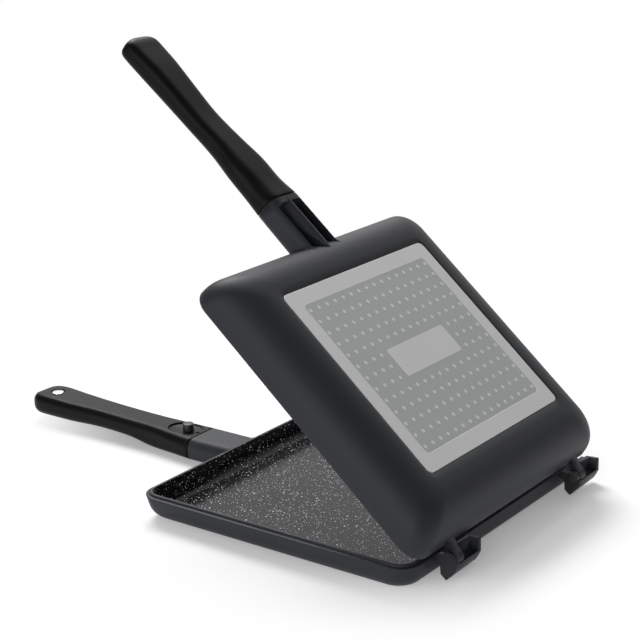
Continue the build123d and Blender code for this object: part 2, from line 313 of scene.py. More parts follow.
def panShell(name, dish):
    away = 1 if dish["base"] > dish["rim"] else -1        # which way the base lies from the rim
    depth = abs(dish["base"] - dish["rim"])
    edge, bevel, mouth = pan["edge"], pan["recessEdge"], pan["mouthEdge"]
    recessX, recessY = pan["plateX"] + pan["plateGap"], pan["plateY"] + pan["plateGap"]
    recessCorner = pan["plateCorner"] + pan["plateGap"]
    rings = [plateRing(recessX, recessY, recessCorner, dish["base"] - away * pan["plateThickness"]),
             plateRing(recessX, recessY, recessCorner, dish["base"] - away * bevel),
             plateRing(recessX + bevel, recessY + bevel, recessCorner + bevel, dish["base"])]
    outer = dishProfile(depth, dish["draft"], dish["outerRadius"], dish["arcSteps"])
    lastInset = outer[-1][0]
    rings.append(panRing(lastInset + pan["flatRun"], dish["base"], pan["baseCorner"] - pan["flatCorner"]))
    for inset, drop in reversed(outer):
        corner = pan["rimCorner"] + (pan["baseCorner"] - pan["rimCorner"]) * inset / lastInset
        rings.append(panRing(inset, dish["rim"] + away * drop, corner))
    rimSlope = tan(radians(dish["draft"]))
    rings.append(panRing(edge * rimSlope, dish["rim"] + away * edge, pan["rimCorner"]))
    rings.append(panRing(edge * easing, dish["rim"] + away * edge * easing, pan["rimCorner"]))
    rings.append(panRing(edge, dish["rim"], pan["rimCorner"] - edge))
    if away < 0:
        rings += lipRings(dish)
        cavityTop = lowerDish["rim"] + pan["lipHeight"]
    else:
        rings += rebateRings(dish)
        cavityTop = lowerDish["rim"] + pan["lipHeight"] + pan["lipClearance"]
    ceiling = dish["base"] - away * pan["floor"]
    cavityDepth = abs(ceiling - cavityTop)
    inner = dishProfile(cavityDepth, dish["draft"], dish["innerRadius"], dish["arcSteps"])
    mouthCorner = pan["rimCorner"] - pan["wall"]
    floorCorner, flatCorner = pan["baseCorner"] - pan["floorCorner"], pan["flatCorner"]
    rings.append(panRing(pan["wall"] + mouth * rimSlope, cavityTop + away * mouth, mouthCorner))
    for inset, drop in inner:
        corner = mouthCorner + (floorCorner - mouthCorner) * inset / inner[-1][0]
        rings.append(panRing(pan["wall"] + inset, cavityTop + away * drop, corner))
    rings.append(panRing(pan["wall"] + inner[-1][0] + pan["flatRun"], ceiling, floorCorner - flatCorner))
    return loftPiece(name, rings)


def lipRings(dish):
    top = dish["rim"] + pan["lipHeight"]
    inset, corner, wall = pan["lipInset"], pan["rimCorner"] - pan["lipInset"], pan["wall"]
    foot, edge, ease = pan["foot"], pan["lipEdge"], pan["lipEase"]
    mouth, mouthEase = pan["mouthEdge"], pan["mouthEase"]
    return [panRing(inset - foot, dish["rim"], corner + foot),
            panRing(inset, dish["rim"] + pan["footRise"], corner),
            panRing(inset, top - edge, corner),
            panRing(inset + ease, top - ease, corner - ease),
            panRing(inset + edge, top, corner - edge),
            panRing(wall - mouth, top, corner - wall + inset + mouth),
            panRing(wall - mouthEase, top - mouthEase, corner - wall + inset + mouthEase)]


def rebateRings(dish):
    top = lowerDish["rim"] + pan["lipHeight"] + pan["lipClearance"]
    inset = pan["lipInset"] - pan["lipClearance"]
    corner, wall, foot = pan["rimCorner"] - inset, pan["wall"], pan["foot"]
    return [panRing(inset - foot, dish["rim"], corner + foot),
            panRing(inset, dish["rim"] + foot, corner),
            panRing(inset, top, corner),
            panRing(wall - foot, top, corner - wall + inset + foot)]


# Handles: stubs cast with the pans, then a gasket, then a moulded grip on a tang
# A station is y, half width, low z, high z, low and high corner radius; root and seam leave out y
# A cap is its length, then the powers of its curve in plan, below and above
handle = {
    "wallY": -82.8, "flare": 1.5, "flareSteps": 6, "flarePower": 1.6, "bury": 1.6, "fade": 8.0,
    "ringsAt": (3.0, 4.5, 6.5, 9.0, 14.0, 20.0), "pocketHalf": 9.7, "pocketEnd": -60.0, "pocketCorner": 0.8,
    "band": 3.6, "rib": 1.8, "gasket": 1.0, "gasketInset": 0.7, "tangHalf": 6.0, "tangLength": 26.0,
    "tangRoot": 1.0, "tangFit": 0.15, "tangCorner": 1.2, "steps": 6, "trim": 0.3, "trimEase": 0.09,
    "trimRise": 0.1, "capSteps": 14, "capEnd": 0.985, "capHeight": 0.35, "capWidth": 2.2, "capRound": 0.96,
}
lowerHandle = {
    "dish": lowerDish, "seamY": -110.5, "rootY": -74.0, "pocket": (-1.0, 10.5), "tang": (3.6, 10.4),
    "root": (12.9, 0.9, 13.2, 3.8, 5.2), "seam": (13.4, 0.9, 13.1, 3.8, 5.2), "hole": (2.0, 12.0),
    "cap": (15.4, 4.0, 4.5, 4.5),
    "stations": ((-125.0, 12.1, 0.9, 13.4, 3.9, 4.6), (-143.0, 10.2, 0.5, 13.9, 4.8, 4.0),
                 (-160.0, 10.0, 3.1, 14.2, 4.8, 4.0), (-184.0, 10.1, 3.9, 14.9, 4.8, 4.0),
                 (-205.0, 11.3, 3.6, 15.3, 4.8, 4.0), (-222.0, 12.0, 3.9, 16.1, 4.8, 4.0)),
}
upperHandle = {
    "dish": upperDish, "seamY": -108.4, "rootY": -70.0, "pocket": (20.5, 36.0), "tang": (21.9, 28.6),
    "root": (12.3, 16.8, 32.6, 4.2, 6.4), "seam": (13.0, 17.9, 32.3, 4.2, 7.4), "hole": (21.0, 30.0),
    "cap": (9.3, 4.7, 6.0, 2.5),
    "stations": ((-120.0, 12.4, 18.0, 31.1, 4.4, 7.4), (-135.0, 12.2, 18.3, 30.6, 4.4, 6.2),
                 (-151.0, 10.1, 18.0, 29.5, 4.0, 4.8), (-171.0, 10.0, 17.4, 28.0, 4.0, 4.8),
                 (-192.0, 10.6, 17.1, 28.5, 4.0, 4.8), (-208.0, 11.4, 17.0, 28.8, 4.0, 4.8),
                 (-221.0, 12.0, 17.0, 28.2, 4.0, 4.8)),
}


def handleRing(y, halfWidth, low, high, lowRadius, highRadius):
    ring = roundedRing(-halfWidth, halfWidth, low, high, lowRadius, highRadius)
    return [(x, y, z) for x, z in ring]


def stubRing(values, distance, bury=0.0):
    dish = values["dish"]
    depth = abs(dish["base"] - dish["rim"])
    flatY = handle["wallY"] - distance
    part = (flatY - values["rootY"]) / (values["seamY"] - values["rootY"])
    halfWidth, low, high, lowRadius, highRadius = (
        a + (b - a) * part for a, b in zip(values["root"], values["seam"]))
    flare = handle["flare"]
    halfWidth += flare - sqrt(flare ** 2 - max(0.0, flare - distance) ** 2)
    fade = max(0.0, 1 - distance / handle["fade"])        # near the wall the ring follows it
    ring = []
    for x, z in roundedRing(-halfWidth, halfWidth, low, high, lowRadius, highRadius):
        drop = min(depth, max(0.0, abs(z - dish["rim"])))
        wallY = handle["wallY"] + wallInset(drop, depth, dish["draft"], dish["outerRadius"])
        ring.append((x, (wallY - distance) * fade + flatY * (1 - fade) + bury, z))
    return ring


def tangBar(values, clearance):
    half, corner = handle["tangHalf"] + clearance, handle["tangCorner"]
    low, high = values["tang"][0] - clearance, values["tang"][1] + clearance
    ring = roundedRing(-half, half, low, high, corner, corner, cornerSteps=4, sideSteps=1)
    ends = (values["seamY"] + handle["tangRoot"], values["seamY"] - handle["tangLength"] - clearance)
    return loftPiece("tang", [[(x, y, z) for x, z in ring] for y in ends])


def stubShell(name, values):
    span = handle["wallY"] - values["seamY"]
    flare, steps = handle["flare"], handle["flareSteps"]
    near = [flare * (step / steps) ** handle["flarePower"] for step in range(steps + 1)]
    rings = [stubRing(values, 0.0, handle["bury"])]
    rings += [stubRing(values, distance) for distance in (*near, *handle["ringsAt"], span)]
    piece = loftPiece(name, rings)
    low, high = values["pocket"]
    for side in (1, -1):
        inner, outer = sorted((side * handle["rib"] / 2, side * handle["pocketHalf"]))
        cutter = boxFrom("pocket", inner, outer, values["seamY"] + handle["band"], handle["pocketEnd"],
                         low, high, handle["pocketCorner"])
        combine(piece, cutter, "DIFFERENCE")
    return combine(piece, tangBar(values, 0.0), "UNION")


def refined(stations):
    fine = []
    last = len(stations) - 1
    rates = []
    for index in range(last + 1):
        before, after = stations[max(index - 1, 0)], stations[min(index + 1, last)]
        rates.append([(b - a) / (after[0] - before[0]) for a, b in zip(before, after)])
    for index in range(last):
        run = stations[index + 1][0] - stations[index][0]
        for step in range(handle["steps"]):
            t = step / handle["steps"]
            weights = ((1 + 2 * t) * (1 - t) ** 2, t * t * (3 - 2 * t),
                       t * (1 - t) ** 2 * run, t * t * (t - 1) * run)
            columns = zip(stations[index], stations[index + 1], rates[index], rates[index + 1])
            fine.append([sum(w * v for w, v in zip(weights, column)) for column in columns])
    return fine + [stations[-1]]


def gripShell(name, values):
    start = (values["seamY"] - handle["gasket"], *values["seam"])
    stations = refined((start, *values["stations"]))
    y, halfWidth, low, high, lowRadius, highRadius = stations[0]
    trim, ease, rise = handle["trim"], handle["trimEase"], handle["trimRise"]
    rings = [handleRing(y, halfWidth - trim, low + trim, high - trim, lowRadius - trim, highRadius - trim),
             handleRing(y - rise, halfWidth - ease, low + ease, high - ease, lowRadius, highRadius)]
    stations[0] = [a + (b - a) * trim / (y - stations[1][0]) for a, b in zip(stations[0], stations[1])]
    rings += [handleRing(*station) for station in stations]
    endY, halfWidth, low, high, lowRadius, highRadius = stations[-1]
    capLength, planPower, lowPower, highPower = values["cap"]
    middle, halfHeight = (low + high) / 2, (high - low) / 2
    for step in range(1, handle["capSteps"] + 1):
        along = handle["capEnd"] * sin(step / handle["capSteps"] * pi / 2)
        keep = handle["capHeight"]
        lowHalf = halfHeight * (keep + (1 - keep) * sqrt(1 - along ** lowPower))
        highHalf = halfHeight * (keep + (1 - keep) * sqrt(1 - along ** highPower))
        width = max(halfWidth * sqrt(1 - along ** planPower), handle["capWidth"])
        limit = handle["capRound"] * min(width, lowHalf, highHalf)
        rings.append(handleRing(endY - capLength * along, width, middle - lowHalf, middle + highHalf,
                                min(lowRadius, limit), min(highRadius, limit)))
    piece = loftPiece(name, rings)
    return combine(piece, tangBar(values, handle["tangFit"]), "DIFFERENCE")


def gasketShell(name, values):
    inset = handle["gasketInset"]
    halfWidth, low, high, lowRadius, highRadius = values["seam"]
    rings = [handleRing(values["seamY"] - y, halfWidth - inset, low + inset, high - inset,
                        lowRadius - inset, highRadius - inset) for y in (0.0, handle["gasket"])]
    return combine(loftPiece(name, rings), tangBar(values, handle["tangFit"]), "DIFFERENCE")


# Fittings of the grips: recess with the post, screw in its socket, magnets in their dimples
fitting = {
    "postY": -121.1, "recessY": -123.2, "recessLength": 21.4, "recessWidth": 15.6, "recessFloor": 12.6,
    "recessSlope": 0.35, "recessEase": 0.12, "recessRise": 3.0, "arcGap": 0.01,
    "keyRadius": 1.5, "keyY": -113.9, "keyDepth": 0.5, "postRadius": 3.1, "postTop": 16.9,
    "thread": 2.0, "threadHole": 2.05, "threadGap": 0.4, "socketRadius": 3.9, "socketFloor": 20.1,
    "headRadius": 3.5, "headZ": 17.6, "slot": (4.0, 0.9, 0.8), "slotCorner": 0.1, "edge": 0.35,
    "overrun": 2.0, "overlap": 1.0,
    "magnetY": -223.3, "magnetRadius": 3.4, "magnetHeight": 3.0, "magnetFit": 0.05,
    "magnetFaces": (16.0, 17.1), "endFaces": (16.1, 17.0), "dimple": (3.9, 5.2, 0.5),
}


def recessCutter():
    half, length = fitting["recessWidth"] / 2, fitting["recessLength"] / 2
    y, z, slope = fitting["recessY"], fitting["recessFloor"], fitting["recessSlope"]
    rings = []
    for rise, grow in ((0.0, -slope), (fitting["recessEase"], -slope * easing), (slope, 0.0),
                       (fitting["recessRise"], slope)):
        corner = half + grow - fitting["arcGap"]
        ring = roundedRing(-half - grow, half + grow, y - length - grow, y + length + grow,
                           corner, corner, cornerSteps=16, sideSteps=4)
        rings.append([(px, py, z + rise) for px, py in ring])
    return loftPiece("recess", rings)


def dimpleCutter(face, away):
    narrow, wide, depth = fitting["dimple"]
    profile = [(narrow, face - away * depth), (wide, face + away * depth),
               (wide, face + away * fitting["overrun"])]
    return lathe("dimple", "z", (0, fitting["magnetY"]), profile)


def magnetHole(start, end):
    radius = fitting["magnetRadius"] + fitting["magnetFit"]
    return bar("hole", "z", (0, fitting["magnetY"]), radius, start, end)


def threadHole(start, end):
    return bar("thread", "z", (0, fitting["postY"]), fitting["threadHole"], start, end)


def magnetPiece(name, face, away):
    radius, edge = fitting["magnetRadius"], fitting["edge"]
    far = face - away * fitting["magnetHeight"]
    profile = [(radius - edge, face), (radius - edge * easing, face - away * edge * easing),
               (radius, face - away * edge), (radius, far + away * edge), (radius - edge, far)]
    return lathe(name, "z", (0, fitting["magnetY"]), profile)


def cutGrip(piece, cutters):
    for cutter in cutters:
        combine(piece, cutter, "DIFFERENCE")
    shadeSmooth(piece, 32)
    return piece


def makeLowerGrip():
    face, end = fitting["magnetFaces"][0], fitting["endFaces"][0]
    floorZ, overrun = fitting["recessFloor"], fitting["overrun"]
    key = bar("key", "z", (0, fitting["keyY"]), fitting["keyRadius"],
              floorZ - fitting["keyDepth"], floorZ + overrun)
    return cutGrip(gripShell("lower_grip_moulding", lowerHandle), [
        recessCutter(),
        key,
        threadHole(lowerHandle["tang"][1], floorZ + overrun),
        magnetHole(face - fitting["magnetHeight"], end + overrun),
        dimpleCutter(end, 1)])


def makeUpperGrip():
    face, end = fitting["magnetFaces"][1], fitting["endFaces"][1]
    overrun, socketFloor = fitting["overrun"], fitting["socketFloor"]
    return cutGrip(gripShell("upper_grip_moulding", upperHandle), [
        bar("socket", "z", (0, fitting["postY"]), fitting["socketRadius"], end - overrun, socketFloor),
        threadHole(socketFloor - fitting["overlap"], upperHandle["tang"][0]),
        magnetHole(end - overrun, face + fitting["magnetHeight"]),
        dimpleCutter(end, -1)])


def makePost():
    radius, edge, top = fitting["postRadius"], fitting["edge"], fitting["postTop"]
    thread, floorZ = fitting["thread"], fitting["recessFloor"]
    foot = lowerHandle["tang"][0] + fitting["threadGap"]
    profile = [(thread, foot), (thread, floorZ), (radius, floorZ), (radius, top - edge),
               (radius - edge * easing, top - edge * easing), (radius - edge, top)]
    return lathe("locating_post_turned", "z", (0, fitting["postY"]), profile)


def makeScrew():
    radius, edge, head = fitting["headRadius"], fitting["edge"], fitting["headZ"]
    thread, middle, corner = fitting["thread"], fitting["postY"], fitting["slotCorner"]
    profile = [(radius - edge, head), (radius - edge * easing, head + edge * easing), (radius, head + edge),
               (radius, fitting["socketFloor"]), (thread, fitting["socketFloor"]),
               (thread, upperHandle["tang"][1] - fitting["threadGap"])]
    piece = lathe("grip_screw_turned", "z", (0, middle), profile)
    length, width, height = fitting["slot"]
    for x, y in ((length, width), (width, length)):
        cutter = boxFrom("slot", -x / 2, x / 2, middle - y / 2, middle + y / 2,
                         head - fitting["overlap"], head + height, corner)
        combine(piece, cutter, "DIFFERENCE")
    return piece


# Hinge: cradles on the lower pan, lugs on the upper pan, headed pins between them
hingeParts = {
    "pivot": (89.5, 11.4), "cradleX": (37.5, -82.0), "width": 24.0, "rearCheek": 2.5, "frontCheek": 2.5,
    "spine": 10.5, "lugX": (15.5, 21.2), "pinRadius": 2.2, "headRadius": 3.3, "clearance": 0.05, "tail": 0.5,
    "skins": (1.0, 0.0), "eyeRadius": 3.7, "eyeRoom": 0.15, "softness": 0.35, "overlap": 1.0, "pinEdge": 0.3,
    "seatBack": 0.3, "seatFront": 0.5, "slotHeight": 9.0, "slotCorner": 0.01,
}
# Outlines of the hinge's cast parts, as y and z
highCheek = ((81.0, 12.7), (82.9, 12.7), (84.0, 13.9), (87.7, 15.0), (88.9, 16.2), (92.3, 13.9), (94.2, 11.4),
             (94.4, 9.4), (93.4, 7.0), (88.3, 1.3), (85.2, 3.9), (85.0, 7.6), (84.2, 9.4), (80.6, 10.2))
lowCheek = ((81.0, 12.7), (82.9, 12.7), (84.0, 13.4), (85.6, 12.6), (91.8, 10.9), (94.2, 9.6), (93.6, 7.4),
            (88.3, 1.3), (85.2, 3.9), (85.0, 7.6), (84.2, 9.4), (80.6, 10.2))
rearCheek = ((81.0, 12.7), (82.9, 12.7), (84.0, 13.7), (90.9, 14.2), (91.4, 13.8), (91.4, 7.2),
             (89.8, 4.2), (88.3, 1.9), (85.2, 3.9), (85.0, 7.6), (84.2, 9.4), (80.6, 10.2))
spine = ((81.0, 12.7), (82.9, 12.7), (84.0, 13.7), (86.6, 14.0), (86.6, 7.0), (85.0, 7.0), (84.2, 9.4),
         (80.6, 10.2))
troughRear = ((85.0, 9.0), (85.2, 3.9), (88.3, 1.9), (91.4, 7.2), (91.4, 9.0))
troughFront = ((85.0, 9.4), (85.2, 3.9), (88.3, 1.3), (93.4, 7.0), (93.6, 9.4))
lugArm = ((81.4, 17.4), (81.8, 17.4), (83.2, 16.6), (86.0, 15.4), (89.5, 15.1), (89.5, 11.4), (86.9, 8.8),
          (83.8, 13.5), (81.4, 13.6))


def addCradles(piece):
    softness, overlap = hingeParts["softness"], hingeParts["overlap"]
    for x0, front in zip(hingeParts["cradleX"], (highCheek, lowCheek)):
        x1 = x0 + hingeParts["width"]
        inner = x1 - hingeParts["frontCheek"]
        ends = ((x0, troughRear), (inner, troughFront))
        trough = loftPiece("trough", [[(x, y, z) for y, z in outline] for x, outline in ends])
        room = hingeParts["eyeRadius"] + hingeParts["eyeRoom"]
        hollow = bar("room", "x", hingeParts["pivot"], room, x0 - overlap, inner + overlap)
        combine(trough, hollow, "DIFFERENCE")
        combine(piece, trough, "UNION")
        for outline, start, end in ((rearCheek, x0 - hingeParts["rearCheek"], x0), (front, inner, x1),
                                    (spine, x0 - overlap, x0 + hingeParts["spine"])):
            combine(piece, plateFrom("cheek", outline, start, end, softness), "UNION")
    y, z = hingeParts["pivot"]
    radius = hingeParts["headRadius"] + hingeParts["clearance"]
    for x0, skin in zip(hingeParts["cradleX"], hingeParts["skins"]):
        start = x0 + hingeParts["width"] - hingeParts["frontCheek"] - hingeParts["seatBack"]
        end = x0 + hingeParts["width"] - skin + (hingeParts["seatFront"] if skin == 0 else 0.0)
        slot = boxFrom("slot", start, end, y - radius, y + radius, z, z + hingeParts["slotHeight"],
                       hingeParts["slotCorner"])
        combine(piece, bar("seat", "x", (y, z), radius, start, end), "DIFFERENCE")
        combine(piece, slot, "DIFFERENCE")


def addLugs(piece):
    for x0 in hingeParts["cradleX"]:
        start, end = x0 + hingeParts["lugX"][0], x0 + hingeParts["lugX"][1]
        combine(piece, plateFrom("arm", lugArm, start, end, hingeParts["softness"]), "UNION")
        radius, edge = hingeParts["eyeRadius"], hingeParts["softness"]
        profile = [(radius - edge, start), (radius, start + edge), (radius, end - edge), (radius - edge, end)]
        combine(piece, lathe("eye", "x", hingeParts["pivot"], profile), "UNION")
        radius, overlap = hingeParts["pinRadius"] + hingeParts["clearance"], hingeParts["overlap"]
        bore = bar("bore", "x", hingeParts["pivot"], radius, start - overlap, end + overlap)
        combine(piece, bore, "DIFFERENCE")


def hingePin(name, place):
    x0, skin = hingeParts["cradleX"][place], hingeParts["skins"][place]
    head = x0 + hingeParts["width"] - hingeParts["frontCheek"]
    end = x0 + hingeParts["width"] - skin
    start = x0 + hingeParts["lugX"][0] - hingeParts["tail"]
    radius, wide, edge = hingeParts["pinRadius"], hingeParts["headRadius"], hingeParts["pinEdge"]
    profile = [(radius - edge, start), (radius, start + edge), (radius, head), (wide, head),
               (wide, end - edge), (wide - edge * easing, end - edge * easing), (wide - edge, end)]
    return lathe(name, "x", hingeParts["pivot"], profile)


# Induction plates: a border, a slightly sunk field of dots, and a bare pad level with the border
plate = {
    "fieldX": 51.75, "fieldY": 46.3, "fieldCorner": 2.4, "fieldEdge": 0.1, "sunk": 0.08,
    "padX": 24.65, "padY": 8.5, "padCorner": 1.5, "padDepth": 0.2,
    "columns": 16, "rows": 13, "spanX": 99.6, "spanY": 85.4, "dotRadius": 1.12, "dotSteps": 20,
    "clearX": 27.0, "clearY": 8.7, "seed": 7, "dotVariety": 0.02, "edge": 0.2,
    "levelFace": 0.9, "levelMargin": 0.01,
}


def plateShell(name, face, away):
    x, y, corner, edge = pan["plateX"], pan["plateY"], pan["plateCorner"], plate["edge"]
    back, sunk = face - away * pan["plateThickness"], face - away * plate["sunk"]
    fieldX, fieldY, fieldCorner, fieldEdge = (
        plate[key] for key in ("fieldX", "fieldY", "fieldCorner", "fieldEdge"))
    rings = [plateRing(x, y, corner, back), plateRing(x, y, corner, face - away * edge),
             plateRing(x - edge * easing, y - edge * easing, corner, face - away * edge * easing),
             plateRing(x - edge, y - edge, corner - edge, face),
             plateRing(fieldX + fieldEdge, fieldY + fieldEdge, fieldCorner + fieldEdge, face),
             plateRing(fieldX, fieldY, fieldCorner, sunk)]
    body = loftPiece(name, rings)
    padRings = [plateRing(plate["padX"], plate["padY"], plate["padCorner"], height)
                for height in (sunk - away * plate["padDepth"], face)]
    return combine(body, loftPiece("pad", padRings), "UNION")


def dotTree():
    tree = bpy.data.node_groups.new("dot_grid", "GeometryNodeTree")
    for name, kind in (("Columns", "Int"), ("Rows", "Int"), ("Width", "Float"), ("Length", "Float"),
                       ("Clear Half Width", "Float"), ("Clear Half Length", "Float"), ("Dot Radius", "Float"),
                       ("Dot Depth", "Float"), ("Dot Steps", "Int"), ("Variety", "Float"), ("Seed", "Int"),
                       ("Material", "Material")):
        tree.interface.new_socket(name=name, in_out="INPUT", socket_type="NodeSocket" + kind)
    tree.interface.new_socket(name="Geometry", in_out="OUTPUT", socket_type="NodeSocketGeometry")
    given = tree.nodes.new("NodeGroupInput")

    def add(kind, settings, inputs):
        made = tree.nodes.new(kind)
        for key, value in settings.items():
            setattr(made, key, value)
        for key, value in inputs.items():
            if isinstance(value, bpy.types.NodeSocket):
                tree.links.new(value, made.inputs[key])
            else:
                made.inputs[key].default_value = value
        return made

    grid = add("GeometryNodeMeshGrid", {}, {
        "Size X": given.outputs["Width"], "Size Y": given.outputs["Length"],
        "Vertices X": given.outputs["Columns"], "Vertices Y": given.outputs["Rows"]})
    place = add("GeometryNodeInputPosition", {}, {})
    parts = add("ShaderNodeSeparateXYZ", {}, {0: place.outputs[0]})
    tests = []
    for axis, limit in (("X", "Clear Half Width"), ("Y", "Clear Half Length")):
        size = add("ShaderNodeMath", {"operation": "ABSOLUTE"}, {0: parts.outputs[axis]})
        ends = {0: size.outputs[0], 1: given.outputs[limit]}
        tests.append(add("ShaderNodeMath", {"operation": "LESS_THAN"}, ends))
    both = add("ShaderNodeMath", {"operation": "MULTIPLY"}, {0: tests[0].outputs[0], 1: tests[1].outputs[0]})
    kept = add("GeometryNodeDeleteGeometry", {"domain": "POINT"}, {
        "Geometry": grid.outputs["Mesh"], "Selection": both.outputs[0]})
    dot = add("GeometryNodeMeshCylinder", {}, {
        "Vertices": given.outputs["Dot Steps"], "Radius": given.outputs["Dot Radius"],
        "Depth": given.outputs["Dot Depth"]})
    least = add("ShaderNodeMath", {"operation": "SUBTRACT"}, {0: 1.0, 1: given.outputs["Variety"]})
    size = add("FunctionNodeRandomValue", {"data_type": "FLOAT"}, {
        2: least.outputs[0], 3: 1.0, "Seed": given.outputs["Seed"]})
    scale = add("ShaderNodeCombineXYZ", {}, {0: size.outputs[1], 1: size.outputs[1], 2: 1.0})
    placed = add("GeometryNodeInstanceOnPoints", {}, {
        "Points": kept.outputs[0], "Instance": dot.outputs["Mesh"], "Scale": scale.outputs[0]})
    real = add("GeometryNodeRealizeInstances", {}, {"Geometry": placed.outputs[0]})
    coated = add("GeometryNodeSetMaterial", {}, {
        "Geometry": real.outputs[0], "Material": given.outputs["Material"]})
    output = tree.nodes.new("NodeGroupOutput")
    tree.links.new(coated.outputs[0], output.inputs[0])
    return tree


def dotField(name, tree, face, away, material):
    piece = newPiece(name, [(0, 0, 0), (1, 0, 0), (0, 1, 0)], [(0, 1, 2)])        # replaced by the nodes
    modifier = piece.modifiers.new("dots", "NODES")
    modifier.node_group = tree
    values = {
        "Columns": plate["columns"], "Rows": plate["rows"], "Width": plate["spanX"] * mm,
        "Length": plate["spanY"] * mm, "Clear Half Width": plate["clearX"] * mm,
        "Clear Half Length": plate["clearY"] * mm, "Dot Radius": plate["dotRadius"] * mm,
        "Dot Depth": 2 * plate["sunk"] * mm, "Dot Steps": plate["dotSteps"], "Variety": plate["dotVariety"],
        "Seed": plate["seed"], "Material": material,
    }
    for item in tree.interface.items_tree:
        if item.in_out == "INPUT":
            modifier[item.identifier] = values[item.name]
    bake(piece)
    lift = (face - away * plate["sunk"]) * mm
    piece.data.transform(Matrix.Translation((0, 0, lift)))
    return piece


# Finishes
coating = {
    "dark": (0.018, 0.0195, 0.0245), "light": (0.024, 0.026, 0.032), "grainScale": 2600.0, "cloudScale": 18.0,
    "roughness": 0.42, "cloudRoughness": 0.1, "grainRoughness": 0.08, "specular": 0.26, "bump": 0.12,
}
nonstick = {
    "dark": (0.005, 0.0053, 0.007), "light": (0.009, 0.0094, 0.0115), "speck": (0.86, 0.87, 0.9),
    "layers": ((560.0, 0.25, 2.2), (820.0, 0.28, 1.8), (1200.0, 0.3, 1.3)), "spread": 1.8, "missing": 0.8,
    "speckEdge": 0.05, "mistScale": 60.0, "grainScale": 1500.0, "roughness": 0.15, "mistRoughness": 0.05,
    "specular": 0.2, "bump": 0.03,
}
steel = {
    "grainScale": 1900.0, "cloudScale": 30.0, "cloudShare": 0.6, "grainShare": 0.4, "grainRoughness": 0.08,
    "bump": 0.1,
}
moulding = {
    "dark": (0.003, 0.0032, 0.0031), "light": (0.005, 0.0053, 0.0052), "grainScale": 1700.0,
    "cloudScale": 25.0, "roughness": 0.33, "grainRoughness": 0.1, "cloudRoughness": 0.05, "specular": 0.12,
    "bump": 0.2,
}
plain = {"grainScale": 1200.0, "grainRoughness": 0.12, "bump": 0.15}
cavityPaint = {"ceiling": 0.05, "cornerSlope": 0.1, "margin": 0.9, "rebate": 0.5, "lip": 0.02}


def coatFinish():
    s = materialShader("dark_satin_coating")
    place = s.place()
    grain = s.noise(place, coating["grainScale"], 3.0, 0.6)
    cloud = s.noise(place, coating["cloudScale"], 3.0, 0.5)
    colour = s.mix(cloud, (*coating["dark"], 1), (*coating["light"], 1))
    roughness = coating["roughness"] + coating["cloudRoughness"] * cloud + coating["grainRoughness"] * grain
    return s.finish({"Base Color": colour, "Roughness": roughness, "Specular IOR Level": coating["specular"],
                     "Normal": s.bump(grain, coating["bump"])})


def wallDistance(x, y, inset, corner):
    qx, qy = abs(x) - pan["halfX"] + inset + corner, abs(y) - pan["halfY"] + inset + corner
    return sqrt(max(qx, 0.0) ** 2 + max(qy, 0.0) ** 2) + min(max(qx, qy), 0.0) - corner


def inCavity(dish):
    upper = dish["base"] > dish["rim"]
    depth = abs(dish["base"] - dish["rim"])
    lipZ = lowerDish["rim"] + pan["lipHeight"]
    floorZ = min(dish["base"], dish["rim"]) + pan["floor"] - cavityPaint["ceiling"]
    ceilingZ = max(dish["base"], dish["rim"]) - pan["floor"] + cavityPaint["ceiling"]
    low, high = (lipZ + cavityPaint["rebate"], ceilingZ) if upper else (floorZ, lipZ - cavityPaint["lip"])

    def test(face):
        centre = face.center / mm
        drop = max(0.0, (centre.z - dish["rim"]) * (1 if upper else -1))
        inset = wallInset(min(drop, depth), depth, dish["draft"], dish["outerRadius"])
        corner = pan["rimCorner"] - cavityPaint["cornerSlope"] * inset
        distance = wallDistance(centre.x, centre.y, inset, corner)
        return distance < -pan["lipInset"] - cavityPaint["margin"] and low < centre.z < high

    return test


def speckFinish():
    s = materialShader("speckled_nonstick")
    place = s.place()
    light = 0.0
    for scale, reach, strength in nonstick["layers"]:
        near = s.node("ShaderNodeTexVoronoi", {}, {"Vector": place, "Scale": scale}, "Distance")
        chance = s.node("ShaderNodeSeparateColor", {}, {"Color": near.link.node.outputs["Color"]}, "Red")
        size = reach * (nonstick["spread"] * chance - nonstick["missing"])        # below 0 there's no speck
        light = s.step(size - near, 0.0, nonstick["speckEdge"]) * (strength * chance) + light
    mist = s.noise(place, nonstick["mistScale"], 4.0, 0.6)
    dark = s.mix(mist, (*nonstick["dark"], 1), (*nonstick["light"], 1))
    colour = s.mix(s.node("ShaderNodeClamp", {}, {"Value": light}), dark, (*nonstick["speck"], 1))
    grain = s.noise(place, nonstick["grainScale"], 3.0, 0.6)
    roughness = nonstick["roughness"] + nonstick["mistRoughness"] * mist
    return s.finish({"Base Color": colour, "Roughness": roughness, "Specular IOR Level": nonstick["specular"],
                     "Normal": s.bump(grain, nonstick["bump"])})


def steelSheet(name, low, high, roughness, metallic):
    s = materialShader(name)
    place = s.place()
    grain = s.noise(place, steel["grainScale"], 3.0, 0.6)
    cloud = s.noise(place, steel["cloudScale"], 3.0, 0.5)
    colour = s.mix(steel["cloudShare"] * cloud + steel["grainShare"] * grain, (*low, 1), (*high, 1))
    return s.finish({"Base Color": colour, "Roughness": roughness + steel["grainRoughness"] * grain,
                     "Metallic": metallic, "Normal": s.bump(grain, steel["bump"])})


